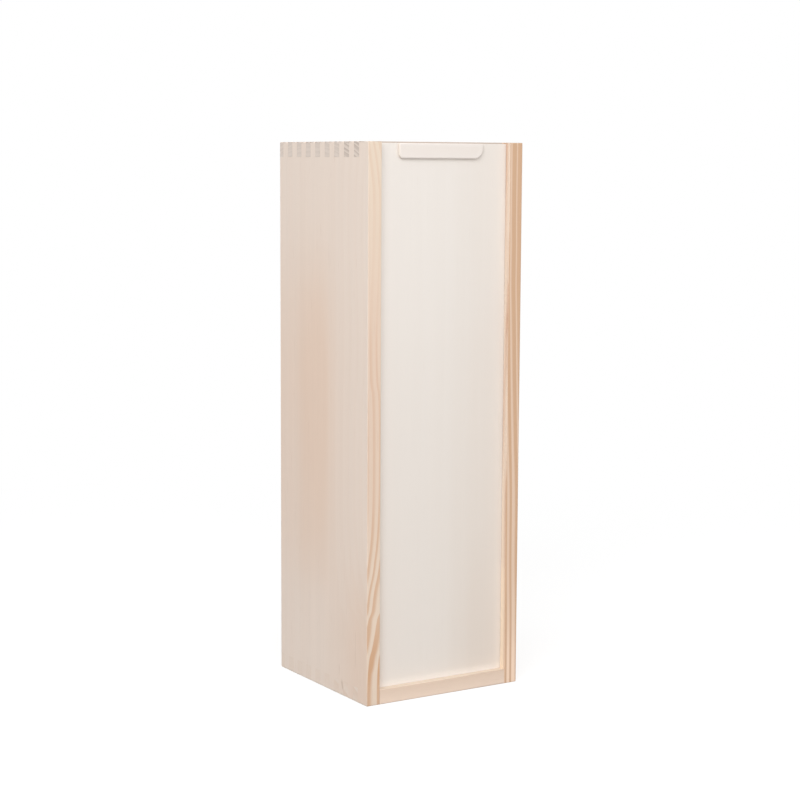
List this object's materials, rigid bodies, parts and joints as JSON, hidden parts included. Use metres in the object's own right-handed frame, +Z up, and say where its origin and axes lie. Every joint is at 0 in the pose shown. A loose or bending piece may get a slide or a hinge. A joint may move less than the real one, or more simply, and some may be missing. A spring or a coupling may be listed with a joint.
{
  "type": "wooden wine box",
  "caption": "Upright pine box for a single bottle, with comb-jointed corners, a captive back panel and a lid that slides up and out of side grooves by a glued finger pull.",
  "frame": {"origin": "under the middle of the box, on the surface that it stands on", "axes": "+Z up, along the height and the way the lid slides out; the lid faces -Y; +X to the right seen from the front"},
  "size_m": [0.114, 0.112, 0.35],
  "materials": {
    "side_pine": "planed pine, sanded, without varnish",
    "end_pine": "planed pine, sanded, without varnish",
    "back_plywood": "thin pale plywood, sanded",
    "lid_wood": "pale even-grained wood, finely sanded"
  },
  "bodies": {
    "box": {"left_side": "side_pine", "right_side": "side_pine", "top_board": "end_pine", "bottom_board": "end_pine", "back_panel": "back_plywood"},
    "lid": {"lid_panel": "lid_wood", "lid_pull": "lid_wood"}
  },
  "joints": [
    {"name": "lid_slide", "type": "slide", "parent": "box", "child": "lid", "axis": [0, 0, 1], "range_m": [0, 0.35]}
  ]
}
